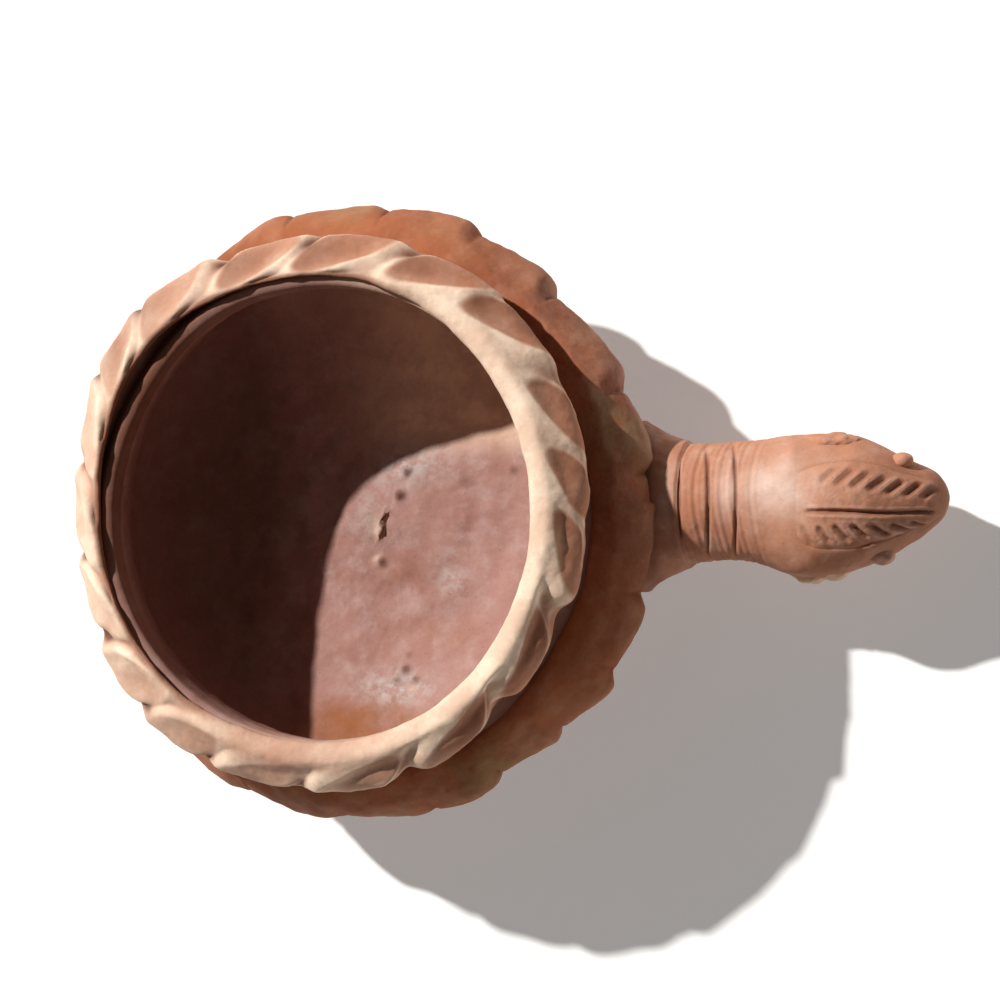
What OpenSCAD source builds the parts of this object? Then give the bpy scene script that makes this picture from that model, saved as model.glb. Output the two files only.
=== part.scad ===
/* [Bowl] */
// Height of the smooth lip above the table
bowl_h = 61; // [59:0.5:66]
// Radius of the mouth at the lip
mouth_r = 45; // [43:0.5:46]
// Width of the smooth lip
lip_w = 4; // [3:0.5:5]
// Outside radius of the thrown wall where the belly band sits
wall_r = 57; // [56:0.5:58]
// Height at which the thrown wall is widest
wall_h = 38; // [36:0.5:41]
// Depth of the inside, from the lip to the lowest part of the floor
bowl_depth = 45; // [43:0.5:47]
// Height of the mound that throwing leaves in the middle of the floor
floor_mound = 3; // [0:0.5:4]
// How much wider the inside is at the belly than at the mouth
inside_swell = 6; // [3:0.5:6.5]

/* [Foot] */
// Radius of the foot where it rests on the table
foot_r = 31; // [28:0.5:34]
// Height of the foot
foot_h = 6; // [4:0.5:8]
// Radius of the raised seat that centres the bowl on the foot
seat_r = 18; // [12:1:22]
// Height of that seat
seat_h = 1.2; // [0.8:0.2:2]

/* [Rim coil] */
// How far the coil stands out past the lip
rim_out = 6.5; // [5.5:0.5:8]
// Height of the coil
rim_coil_h = 14; // [12:0.5:15]
// How far the crest of the coil stands above the lip
rim_rise = 2.5; // [1:0.5:3]
// How far the coil reaches in over the lip
rim_in = 2.6; // [1.5:0.1:3]
// Number of thumb dishes round the coil
rim_thumbs = 18; // [14:1:20]
// Depth of each thumb dish
rim_dish = 1.8; // [1:0.1:2.2]

/* [Belly band] */
// Outside radius of the band
belly_r = 63.5; // [61:0.5:65]
// Height of the middle of the band above the table
belly_h = 35.5; // [34:0.5:37]
// Height of the band from its lower edge to its upper edge
belly_band_h = 21; // [18:0.5:23]
// Number of thumb-pressed lobes round the band
belly_thumbs = 18; // [14:1:20]
// Depth of each thumb press
belly_dish = 2.2; // [1:0.1:2.6]

/* [Handle] */
// Height of the handle's centre line above the table
handle_h = 24; // [22:0.5:26]
// Distance from the bowl's centre to the tip of the knob
tip_x = 119; // [114:0.5:124]
// Radius of the stem where it is thinnest
stem_r = 12; // [10.4:0.2:12.6]
// Radius of the knob where it is thickest
knob_r = 13.6; // [12.8:0.2:15]
// Length of the rounded end, from the thickest place to the tip
knob_l = 24.5; // [20:0.5:27]
// Radius of the tenon that keys the handle into the bowl's wall
tenon_r = 5; // [4:0.2:5.6]
// Depth of each scored ring round the stem
ring_depth = 0.6; // [0.3:0.1:0.9]
// Radius of the flared collar at its widest
collar_r = 17.8; // [16:0.2:19]

/* [Leaf] */
// Length of the leaf on top of the knob
leaf_l = 31; // [26:0.5:33]
// Width of the leaf
leaf_w = 19; // [14:0.5:21]
// Thickness of the leaf
leaf_t = 1.3; // [0.9:0.1:1.8]
// Number of cut veins on each side of the midrib
vein_count = 8; // [5:1:9]
// Width of a cut vein
vein_w = 1.1; // [0.7:0.1:1.4]

/* [Hidden] */
$fn = 96;

// Bowl: the lip is a half circle of radius lip_w / 2
lip_half = lip_w / 2;
lip_c = [mouth_r + lip_half, bowl_h - lip_half];
neck_z = bowl_h - 12;
neck_r = mouth_r + lip_w + 1.5;
floor_z = bowl_h - bowl_depth;
inside_r = mouth_r + inside_swell;
throat_z = bowl_h - 6;
inside_z = wall_h - 2;
under_power = 2.8;
inside_power = 2.6;
mound_r = 26;
curve_n = 10;

// Foot: the bowl's underside is a flat disc of this radius
joint_r = foot_r - 1;
foot_edge = 1;

// Rim coil: an oval section from over the lip to past its outside
rim_a = (rim_out + rim_in) / 2;
rim_c = [mouth_r + lip_w - rim_in + rim_a, bowl_h + rim_rise - rim_coil_h / 2];
rim_thumb_r = 9;
rim_thumb_tilt = 48;

// Belly band: an oval section with its inner part taken up by the wall
belly_a = 10.5;
belly_c = [belly_r - belly_a, belly_h];
belly_thumb_r = 16;
belly_thumb_tilt = 22;

section_n = 36;

// Handle: stations along its axis
knob_x = tip_x - knob_l;
waist_x = knob_x - 20.5;
shoulder_x = waist_x - 22;
ring_xs = [knob_x - 21, knob_x - 15.3];
collar_ring_x = knob_x - 27.3;
ring_half = 0.8;
collar_x = knob_x - 25;
collar_peak_x = collar_x - 12;
collar_lip = 0.5;

// The collar is kept inside a ring round the bowl, so that it fairs into the wall above and below
fairing_r = 49;
fairing_a = 22;
fairing_b = 13;
fairing_power = 3.4;

// Leaf: drawn from above, its midrib along the handle
leaf_x = tip_x - 1.5 - leaf_l;
midrib_w = vein_w * 0.7;
midrib_l = leaf_l - 5.5;
vein_l = 4.8;
vein_tilt = 62;
vein_pitch = (leaf_l - 9) / vein_count;
vein_y = leaf_w * 0.13;
groove_floor = 0.35;

function ease(t) = (1 - cos(180 * t)) / 2;

// Height y over a unit span x of a rounded corner, from 1 at x = 0 to 0 at x = 1
function corner(x, power) = pow(max(0, 1 - pow(x, power)), 1 / power);

// The wall's outside below its widest place ends at joint_r on top of the foot
under_b = (wall_h - foot_h) / corner(joint_r / wall_r, under_power);
function under_r(z) = wall_r * corner((wall_h - z) / under_b, under_power);

// Radius of the inside at z, below its widest place
function inside_at(z) = inside_r * corner((inside_z - z) / (inside_z - floor_z), inside_power);

// The handle's tenon stops short of the inside by the thickness of wall left at its top
root_x = inside_at(handle_h + tenon_r) + 1.5;

// A point of the inside at a turn from 0, on the wall, to 90, in the middle of the floor
function inside_point(turn) =
    let (r = inside_r * pow(cos(turn), 2 / inside_power),
        z = inside_z - (inside_z - floor_z) * pow(sin(turn), 2 / inside_power))
        [r, z + floor_mound * ease(max(0, 1 - r / mound_r))];

bowl_outside = concat(
    [for (i = [0 : curve_n])
        let (z = foot_h + (wall_h - foot_h) * i / curve_n) [under_r(z), z]],
    [for (i = [1 : curve_n])
        let (t = i / curve_n) [wall_r + (neck_r - wall_r) * ease(t), wall_h + (neck_z - wall_h) * t]]);
lip_outside = [for (a = [0 : 15 : 90]) lip_c + lip_half * [cos(a), sin(a)]];
lip_inside = [for (a = [105 : 15 : 180]) lip_c + lip_half * [cos(a), sin(a)]];
bowl_inside = concat(
    [for (i = [1 : 5])
        let (t = i / 5) [mouth_r + inside_swell * ease(t), throat_z + (inside_z - throat_z) * t]],
    [for (i = [1 : 2 * curve_n]) inside_point(45 * i / curve_n)]);

function oval(centre, a, b) = [for (i = [0 : section_n - 1])
    centre + [a * cos(360 * i / section_n), b * sin(360 * i / section_n)]];

// Radius of the plain handle at x: a straight shoulder, a waist, then the knob
function handle_r(x) =
    x < waist_x ? stem_r + 0.6 * ease(min(1, (waist_x - x) / (waist_x - shoulder_x))) :
    x < knob_x ? stem_r + (knob_r - stem_r) * ease((x - waist_x) / (knob_x - waist_x)) :
    knob_r * sqrt(max(0, 1 - pow((x - knob_x) / knob_l, 2)));

// Radius of the collar's flare, which closes on the stem at collar_x
function collar_line(x) =
    let (edge_r = stem_r + collar_lip, t = (collar_x - x) / (collar_x - collar_peak_x))
        edge_r + (collar_r - edge_r) * t * t;

module spin_x(profile) {
    rotate([90, 0, 90]) rotate_extrude() polygon(profile);
}

// The bowl with its inside filled in, for trimming what is pressed onto it
module bowl_block() {
    rotate_extrude() polygon(concat([[0, foot_h]], bowl_outside, lip_outside, [[0, bowl_h]]));
}

// The handle as a solid of revolution, grown outwards by the given amount
module handle_block(grow = 0) {
    stem = [for (i = [0 : curve_n]) let (x = shoulder_x + (knob_x - shoulder_x) * i / curve_n)
        [handle_r(x) + grow, x]];
    end = [for (i = [1 : curve_n]) let (a = 90 * i / curve_n, x = knob_x + knob_l * sin(a))
        [(knob_r + grow) * cos(a), x + grow * sin(a)]];
    translate([0, 0, handle_h])
        spin_x(concat([[0, root_x - 10], [handle_r(shoulder_x) + grow, root_x - 10]], stem, end));
}

module tenon() {
    translate([root_x, 0, handle_h]) rotate([0, 90, 0]) cylinder(r = tenon_r, h = wall_r - root_x);
}

// Thumb presses sunk by depth into an oval ring, square to its surface at the given tilt
module thumb_presses(count, centre, a, b, tilt, thumb_r, depth) {
    on_ring = centre + [a * cos(tilt), b * sin(tilt)];
    normal = [cos(tilt) / a, sin(tilt) / b] / norm([cos(tilt) / a, sin(tilt) / b]);
    ball = on_ring + normal * (thumb_r - depth);
    for (i = [0 : count - 1])
        rotate([0, 0, 360 * (i + 0.5) / count]) translate([ball.x, 0, ball.y]) sphere(r = thumb_r);
}

// A lump pressed on the knob at x, turned about the handle's axis from the top towards +Y
module pellet(x, turn, r, stand) {
    translate([x, 0, handle_h]) rotate([-turn, 0, 0])
        translate([0, 0, handle_r(x) + stand - r]) sphere(r = r);
}

// A V-shaped ring scored round the handle's axis at x, into a surface of radius r
module scored_ring(x, r, depth) {
    translate([0, 0, handle_h])
        spin_x([[r + 1, x - 2 * ring_half], [r - depth, x], [r + 1, x + 2 * ring_half]]);
}

module bowl() {
    color("#a65a41") difference() {
        rotate_extrude()
            polygon(concat([[0, foot_h]], bowl_outside, lip_outside, lip_inside, bowl_inside));
        translate([0, 0, foot_h - 1]) cylinder(r = seat_r, h = seat_h + 1);
        tenon();
    }
}

module foot() {
    color("#8f4a36") rotate_extrude()
        polygon([[0, 0], [foot_r, 0], [foot_r + foot_edge, foot_edge],
            [foot_r + foot_edge, foot_h / 2], [joint_r, foot_h], [seat_r, foot_h],
            [seat_r, foot_h + seat_h], [0, foot_h + seat_h]]);
}

module rim_coil() {
    color("#e0a184") difference() {
        rotate_extrude() polygon(oval(rim_c, rim_a, rim_coil_h / 2));
        bowl_block();
        thumb_presses(rim_thumbs, rim_c, rim_a, rim_coil_h / 2, rim_thumb_tilt, rim_thumb_r, rim_dish);
    }
}

module collar_block() {
    flare = [for (i = [0 : curve_n]) let (x = collar_peak_x + (collar_x - collar_peak_x) * i / curve_n)
        [collar_line(x), x]];
    upper = [for (i = [0 : 2 * curve_n]) let (t = 1 - i / curve_n)
        [fairing_r + fairing_a * t, fairing_b * corner(abs(t), fairing_power)]];
    lower = [for (i = [2 * curve_n - 1 : -1 : 1]) [upper[i].x, -upper[i].y]];
    intersection() {
        translate([0, 0, handle_h])
            spin_x(concat([[0, root_x - 10], [collar_r, root_x - 10]], flare, [[0, collar_x]]));
        translate([0, 0, handle_h]) rotate_extrude() polygon(concat(upper, lower));
    }
}

module handle_collar() {
    color("#9a5440") difference() {
        collar_block();
        handle_block();
        bowl_block();
        scored_ring(collar_ring_x, collar_line(collar_ring_x), ring_depth * 0.6);
    }
}

module belly_band() {
    color("#b0664b") difference() {
        rotate_extrude() polygon(oval(belly_c, belly_a, belly_band_h / 2));
        bowl_block();
        thumb_presses(belly_thumbs, belly_c, belly_a, belly_band_h / 2, belly_thumb_tilt,
            belly_thumb_r, belly_dish);
        collar_block();
        handle_block();
    }
}

module handle() {
    color("#c98468") {
        difference() {
            handle_block();
            bowl_block();
            for (x = ring_xs) scored_ring(x, handle_r(x), ring_depth);
        }
        intersection() {
            tenon();
            bowl_block();
        }
    }
}

module leaf_outline() {
    half = 16;
    edge = [for (i = [0 : half]) let (t = i / half)
        [leaf_x + leaf_l * (1 - cos(180 * t)) / 2, leaf_w / 2 * pow(sin(180 * t), 0.75)]];
    polygon(concat(edge, [for (i = [half - 1 : -1 : 1]) [edge[i].x, -edge[i].y]]));
}

// The leaf before its veins are cut, down to the handle's axis
module leaf_block() {
    intersection() {
        handle_block(leaf_t);
        translate([0, 0, handle_h]) linear_extrude(knob_r + 2 * leaf_t) leaf_outline();
    }
}

// The cut midrib and the veins that slant away from it on both sides, as an outline from above
module leaf_cuts() {
    translate([leaf_x + 4, -midrib_w / 2]) square([midrib_l, midrib_w]);
    for (side = [-1, 1], i = [0 : vein_count - 1])
        translate([leaf_x + 5 + vein_pitch * i, side * vein_y])
            rotate(side * vein_tilt) square([vein_l, vein_w]);
}

module knob_leaf() {
    color("#a9654d") difference() {
        leaf_block();
        handle_block();
        difference() {
            translate([0, 0, handle_h]) linear_extrude(knob_r + 3 * leaf_t) leaf_cuts();
            handle_block(groove_floor);
        }
    }
}

module side_pellet_left() {
    color("#c98468") difference() {
        union() {
            pellet(knob_x - 1, 84, 4.4, 2);
            pellet(knob_x + 4, 78, 4, 1.8);
        }
        handle_block();
    }
}

module side_pellet_right() {
    color("#e3bd98") difference() {
        union() {
            pellet(knob_x - 3, -88, 4.4, 2.4);
            pellet(knob_x + 2, -80, 3.4, 2);
        }
        handle_block();
    }
}

module tip_pellet_left() {
    color("#a9654d") difference() {
        pellet(knob_x + 15.5, 72, 3, 1.5);
        handle_block();
        leaf_block();
    }
}

module tip_pellet_right() {
    color("#c98468") difference() {
        pellet(knob_x + 11, -80, 3.4, 1.6);
        handle_block();
        leaf_block();
    }
}

module cheek_pellet() {
    color("#e3bd98") difference() {
        pellet(knob_x - 5, -48, 1.8, 1);
        handle_block();
    }
}

bowl();
foot();
rim_coil();
belly_band();
handle();
handle_collar();
knob_leaf();
side_pellet_left();
side_pellet_right();
tip_pellet_left();
tip_pellet_right();
cheek_pellet();
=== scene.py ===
"""Looks of the terracotta oil lamp: hand-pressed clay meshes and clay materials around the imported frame."""
import math

import bpy
import numpy as np
from mathutils import Matrix, Vector


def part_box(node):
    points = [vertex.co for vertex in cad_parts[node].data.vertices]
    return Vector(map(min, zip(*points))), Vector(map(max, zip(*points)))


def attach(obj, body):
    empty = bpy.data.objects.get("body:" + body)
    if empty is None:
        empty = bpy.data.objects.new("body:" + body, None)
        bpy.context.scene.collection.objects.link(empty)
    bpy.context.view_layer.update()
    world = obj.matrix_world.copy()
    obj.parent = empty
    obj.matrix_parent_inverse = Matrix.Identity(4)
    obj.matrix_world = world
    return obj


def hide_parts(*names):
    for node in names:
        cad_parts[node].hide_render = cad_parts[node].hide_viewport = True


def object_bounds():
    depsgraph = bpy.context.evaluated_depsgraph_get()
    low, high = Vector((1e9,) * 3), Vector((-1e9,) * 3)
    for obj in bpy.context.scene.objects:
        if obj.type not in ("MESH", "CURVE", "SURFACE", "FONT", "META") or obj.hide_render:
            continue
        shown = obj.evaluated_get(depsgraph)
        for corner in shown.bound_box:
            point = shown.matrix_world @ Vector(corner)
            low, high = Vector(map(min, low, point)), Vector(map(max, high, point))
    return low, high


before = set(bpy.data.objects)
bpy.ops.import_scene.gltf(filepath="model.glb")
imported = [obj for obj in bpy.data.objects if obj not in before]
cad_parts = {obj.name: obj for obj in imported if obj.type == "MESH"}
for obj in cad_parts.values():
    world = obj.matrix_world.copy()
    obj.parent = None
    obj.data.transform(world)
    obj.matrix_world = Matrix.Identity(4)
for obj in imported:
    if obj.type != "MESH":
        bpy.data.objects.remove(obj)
cad_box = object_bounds()

MM = 0.001
TAU = 2 * math.pi


# ---------------------------------------------------------------- the frame, in millimetres

def node_points(node):
    """The CAD node's vertices, in millimetres."""
    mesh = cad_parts[node].data
    flat = np.empty(len(mesh.vertices) * 3)
    mesh.vertices.foreach_get("co", flat)
    return flat.reshape(-1, 3) / MM


def box_mm(node):
    """The CAD node's lowest and highest corners, in millimetres."""
    low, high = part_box(node)
    return np.array(low) / MM, np.array(high) / MM


def radii(points, low_z, high_z):
    """Smallest and largest distance from the bowl's axis between two heights."""
    inside = points[(points[:, 2] > low_z) & (points[:, 2] < high_z)]
    r = np.hypot(inside[:, 0], inside[:, 1])
    return r.min(), r.max()


# Heights and radii of the bowl, read off its CAD mesh
bowl_points = node_points("bowl")
FOOT_H, LIP_H = box_mm("bowl")[0][2], box_mm("bowl")[1][2]
WALL_R = box_mm("bowl")[1][1]
WALL_Z = bowl_points[np.argmax(bowl_points[:, 1])][2]
MOUTH_R = radii(bowl_points, LIP_H - 4, LIP_H - 1.5)[0]
NECK_R = radii(bowl_points, LIP_H - 12.5, LIP_H - 3)[1]
LIP_R = radii(bowl_points, LIP_H - 2.5, LIP_H - 1.5)[1]
INSIDE_R = MOUTH_R + 6
INSIDE_Z = WALL_Z - 2
BOWL_FOOT_R = radii(bowl_points, FOOT_H - 0.1, FOOT_H + 0.1)[1]
from_axis = np.hypot(bowl_points[:, 0], bowl_points[:, 1])
FLOOR_TOP = bowl_points[from_axis < 8][:, 2].max()
FLOOR_LOW = bowl_points[(from_axis < 40) & (bowl_points[:, 2] > FOOT_H + 3)][:, 2].min()

# Boxes of the other pieces
rim_low, rim_high = box_mm("rim_coil")
band_low, band_high = box_mm("belly_band")
handle_low, handle_high = box_mm("handle")
collar_low, collar_high = box_mm("handle_collar")
leaf_low, leaf_high = box_mm("knob_leaf")
FOOT_R = box_mm("foot")[1][1]

HANDLE_Z = (handle_low[2] + handle_high[2]) / 2
KNOB_R = (handle_high[2] - handle_low[2]) / 2
TIP_X = handle_high[0]


# ---------------------------------------------------------------- noise and curves

# Cells of random values along each axis, and a shift that keeps the cell numbers above 0
LATTICE = 24
LATTICE_START = 1000.0


def noise(points, size, seed):
    """Smooth value noise from -1 to 1 with features of the given size, the same on every run."""
    lattice = np.random.default_rng(seed).uniform(-1, 1, (LATTICE, LATTICE, LATTICE))
    q = points / size + LATTICE_START
    cell = np.floor(q).astype(int)
    f = q - cell
    f = f * f * (3 - 2 * f)
    total = np.zeros(points.shape[:-1])
    for corner in np.ndindex(2, 2, 2):
        weight = np.ones(points.shape[:-1])
        for axis in range(3):
            weight = weight * (f[..., axis] if corner[axis] else 1 - f[..., axis])
        index = [(cell[..., axis] + corner[axis]) % LATTICE for axis in range(3)]
        total += weight * lattice[index[0], index[1], index[2]]
    return total


def fbm(points, size, seed, octaves=3):
    """Noise with finer and weaker noise added to it, each octave half the size of the one before."""
    return sum(0.5 ** k * noise(points, size * 0.5 ** k, seed + k) for k in range(octaves))


def smooth(low, high, x):
    """0 below low, 1 above high and an easy curve between them."""
    t = np.clip((x - low) / (high - low), 0, 1)
    return t * t * (3 - 2 * t)


def bump(x, centre, width):
    """A soft bump of height 1."""
    return np.exp(-((x - centre) / width) ** 2)


def spots(x, y, places):
    """The sum of soft oval spots, each a strength, a centre's x and y, and half-widths along x and y."""
    return sum(strength * bump(x, at_x, half_x) * bump(y, at_y, half_y)
               for strength, at_x, at_y, half_x, half_y in places)


def around(angle, centre, width):
    """A soft bump of height 1 round the bowl's axis, at a direction and with a width in degrees."""
    off = (np.degrees(angle) - centre + 180) % 360 - 180
    return np.exp(-(off / width) ** 2)


def hills(angle, places):
    """The sum of soft bumps round the bowl's axis, each a height, a direction and a width in degrees."""
    return sum(height * around(angle, centre, width) for height, centre, width in places)


def spline(points, count, closed):
    """Points evenly spaced along a Catmull-Rom curve through the given ones."""
    steps_per_span = 60
    p = np.array(points, float)
    if closed:
        ext = np.vstack([p[-1], p, p[0], p[1]])
        spans = len(p)
    else:
        ext = np.vstack([2 * p[0] - p[1], p, 2 * p[-1] - p[-2]])
        spans = len(p) - 1
    fine = []
    for i in range(spans):
        t = np.linspace(0, 1, steps_per_span, endpoint=False)[:, None]
        a, b, c, d = ext[i:i + 4]
        fine.append(0.5 * (2 * b + (c - a) * t + (2 * a - 5 * b + 4 * c - d) * t ** 2
                           + (3 * b - a - 3 * c + d) * t ** 3))
    fine.append(ext[spans + 1][None, :])
    fine = np.vstack(fine)
    along = np.concatenate([[0], np.cumsum(np.linalg.norm(np.diff(fine, axis=0), axis=1))])
    stops = np.linspace(0, along[-1], count, endpoint=not closed)
    return np.stack([np.interp(stops, along, fine[:, k]) for k in range(2)], -1)


def left_normals(curve, closed):
    """Unit normals of a 2D curve, to the left of its direction."""
    if closed:
        along = np.roll(curve, -1, 0) - np.roll(curve, 1, 0)
    else:
        along = np.gradient(curve, axis=0)
    n = np.stack([-along[:, 1], along[:, 0]], -1)
    return n / np.linalg.norm(n, axis=1)[:, None]


def stroke(u, v, start, end, width, depth):
    """Depth of a V-shaped cut with raised sides, from start to end on a surface measured by u and v."""
    raised = 0.12
    along = np.array(end) - np.array(start)
    length = np.hypot(*along)
    s = ((u - start[0]) * along[0] + (v - start[1]) * along[1]) / length
    off = np.abs((u - start[0]) * along[1] - (v - start[1]) * along[0]) / length
    fade = smooth(-0.7, 0.9, s) * (1 - smooth(length - 1.0, length + 0.6, s))
    groove = np.clip(1 - off / (width / 2), 0, 1) ** 0.9
    return depth * fade * (groove - raised * bump(off, 0.75 * width, 0.25 * width))


# ---------------------------------------------------------------- meshes

def revolve(section, angles):
    """A grid of points: rows run round the axis, columns follow the (radius, height) section."""
    r, z = section[..., 0], section[..., 1]
    a = angles[:, None]
    return np.stack([r * np.cos(a), r * np.sin(a), z + 0 * a], -1)


# The lamp's slight oval and the side where its rim is flattened, as shares of its size
OUT_OF_ROUND = 0.008
FLATTENED = (0.022, 96, 26)
# How far the whole rim sinks, and where it rises or dips: millimetres, direction and width
RIM_SINK = 1.0
RIM_LIFT = ((-0.8, 146, 24), (1.0, 94, 22), (1.1, 212, 26))


def hand_shape(p):
    """The whole lamp's slight out-of-round and its uneven rim, the same for every piece."""
    x, y, z = p[..., 0], p[..., 1], p[..., 2]
    angle = np.arctan2(y, x)
    near_bowl = 1 - smooth(60, 72, x)
    stretch = -OUT_OF_ROUND * np.cos(2 * angle) * near_bowl
    stretch = stretch - hills(angle, [FLATTENED]) * smooth(LIP_H - 14, LIP_H - 3, z)
    lift = (hills(angle, RIM_LIFT) - RIM_SINK) * near_bowl * smooth(36, LIP_H, z)
    return np.stack([x * (1 + stretch), y * (1 + stretch), z + lift], -1)


MARKS = ("crest", "soil_and_shade", "patch", "stain_and_painted_light")


def make_mesh(name, grid, marks, ring_closed=True):
    """A closed mesh from a grid whose rows wrap. Columns wrap too, or end in a fan at each end.

    The marks are values on the points, and the clay's material reads them.
    """
    rows, cols = grid.shape[:2]
    verts = grid.reshape(-1, 3)
    i, j = np.meshgrid(np.arange(rows), np.arange(cols if ring_closed else cols - 1), indexing="ij")
    i2, j2 = (i + 1) % rows, (j + 1) % cols
    quads = np.stack([i * cols + j, i2 * cols + j, i2 * cols + j2, i * cols + j2], -1).reshape(-1, 4)
    faces = quads.tolist()
    marks = {key: np.broadcast_to(marks.get(key, 0.0), (rows, cols)).reshape(-1) for key in MARKS}
    if not ring_closed:
        for end in (0, cols - 1):
            hub = len(verts)
            verts = np.vstack([verts, grid[:, end].mean(0)])
            for key in marks:
                marks[key] = np.append(marks[key], marks[key].reshape(-1)[end])
            ring = [k * cols + end for k in range(rows)]
            pairs = zip(ring, ring[1:] + ring[:1])
            faces += [[hub, b, a] if end == 0 else [hub, a, b] for a, b in pairs]
    mesh = bpy.data.meshes.new(name)
    mesh.from_pydata((verts * MM).tolist(), [], faces)
    mesh.update()
    tri = np.array([f[:3] for f in faces])
    a, b, c = verts[tri[:, 0]], verts[tri[:, 1]], verts[tri[:, 2]]
    if np.einsum("ij,ij->i", a, np.cross(b, c)).sum() < 0:
        mesh.flip_normals()
    for key, value in marks.items():
        layer = mesh.attributes.new(key, "FLOAT", "POINT")
        layer.data.foreach_set("value", np.ascontiguousarray(value, dtype=np.float32))
    mesh.shade_smooth()
    piece = bpy.data.objects.new(name, mesh)
    bpy.context.scene.collection.objects.link(piece)
    return piece


def finish_piece(piece, material, node):
    """Give the piece its clay and its slot, and let it stand in for its CAD node."""
    piece.data.materials.append(material)
    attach(piece, "root")
    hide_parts(node)


# ---------------------------------------------------------------- bowl

def round_corner(x, power):
    """From 1 at x = 0 to 0 at x = 1 along a rounded corner."""
    return np.clip(1 - np.abs(x) ** power, 0, 1) ** (1 / power)


OUTER_COLS, INNER_COLS = 84, 136
BOWL_ROWS = 436
MOUND_R = 26


def bowl_section():
    """The bowl's outline from the middle of its underside, over the lip, to the middle of its floor."""
    belly_power, inside_power = 2.8, 2.6
    lip = (LIP_R - MOUTH_R) / 2
    lip_r, lip_z = MOUTH_R + lip, LIP_H - lip
    arc = [(lip_r + lip * math.cos(a), lip_z + lip * math.sin(a)) for a in np.radians([15, 50, 90, 130, 165])]
    under = [(BOWL_FOOT_R * k, FOOT_H + 0.05) for k in (0.03, 0.5, 0.96)]
    drop = (WALL_Z - FOOT_H) / round_corner(BOWL_FOOT_R / WALL_R, belly_power)
    wall = []
    for z in np.linspace(FOOT_H + 1, WALL_Z, 7):
        wall.append((WALL_R * round_corner((WALL_Z - z) / drop, belly_power), z))
    shoulder = ((NECK_R + WALL_R) / 2, (WALL_Z + LIP_H - 12) / 2)
    neck = [shoulder, (NECK_R, LIP_H - 11.5), (LIP_R + 0.7, lip_z - 4)]
    throat = LIP_H - 6
    inside = []
    for t in (0.0, 0.25, 0.5, 0.75):
        r = MOUTH_R + (INSIDE_R - MOUTH_R) * float(smooth(0, 1, t))
        inside.append((r, throat + (INSIDE_Z - throat) * t))
    for turn in np.radians(np.linspace(0, 88, 15)):
        r = INSIDE_R * math.cos(turn) ** (2 / inside_power)
        z = INSIDE_Z - (INSIDE_Z - FLOOR_LOW) * math.sin(turn) ** (2 / inside_power)
        inside.append((r, z + (FLOOR_TOP - FLOOR_LOW) * float(smooth(0, 1, 1 - r / MOUND_R))))
    inside.append((0.8, FLOOR_TOP))
    outer = spline(under + wall + neck + arc[:2], OUTER_COLS, False)
    inner = spline(arc[1:] + inside, INNER_COLS, False)
    return np.vstack([outer, inner[1:]])


# Pits in the floor: x, y, radius and depth
PITS = ((3.7, 8.3, 0.9, 0.8), (2.2, 3.5, 1.0, 1.0), (-2.2, -10.2, 0.9, 0.8), (16.2, 6.5, 1.3, 0.4),
        (27.4, 8.6, 0.8, 0.5), (3.0, -32.6, 1.0, 0.8), (5.2, -34.6, 0.7, 0.6), (1.2, -34.8, 0.8, 0.6),
        (3.6, -29.6, 0.7, 0.4), (-4.6, -5.2, 1.2, 0.3))
# The torn nick in the floor: its two ends
TEAR = ((-0.9, 0.2), (-2.5, -5.6))
# Crumbs of clay, grey ash and ochre stains on the floor, the first ochre spot being painted bounce light by
# the wall at the lit patch's lower end: strength, x, y and the two half-widths
CRUMBS = ((1.0, -3.4, -3.0, 1.0, 2.6), (1.0, -3.8, -9.4, 1.1, 0.9), (1.0, 4.2, -36.4, 1.2, 0.9))
GREY = ((1.0, 1.5, -36.5, 7, 3.2), (0.8, 4, 10, 8, 4), (0.5, 13, -14, 4, 5), (0.35, -5, -3, 3, 8),
        (0.3, -26, -29, 7, 4))
OCHRE_AND_BOUNCE_SPOTS = ((1.5, -5, -43.5, 13, 4.5), (0.6, 1, -13, 5, 3), (0.5, 8, -26, 12, 4))


def floor_pits(base):
    """Depth of the pits and of the torn nick in the floor."""
    x, y = base[..., 0], base[..., 1]
    pits = np.zeros(base.shape[:2])
    for pit_x, pit_y, size, sink in PITS:
        pits += sink * np.exp(-(np.hypot(x - pit_x, y - pit_y) / size) ** 2)
    ragged = 0.9 * fbm(base, 1.7, 13)
    return np.maximum(pits, stroke(x + ragged, y + 0.6 * ragged, *TEAR, 1.6, 1.0))


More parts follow.
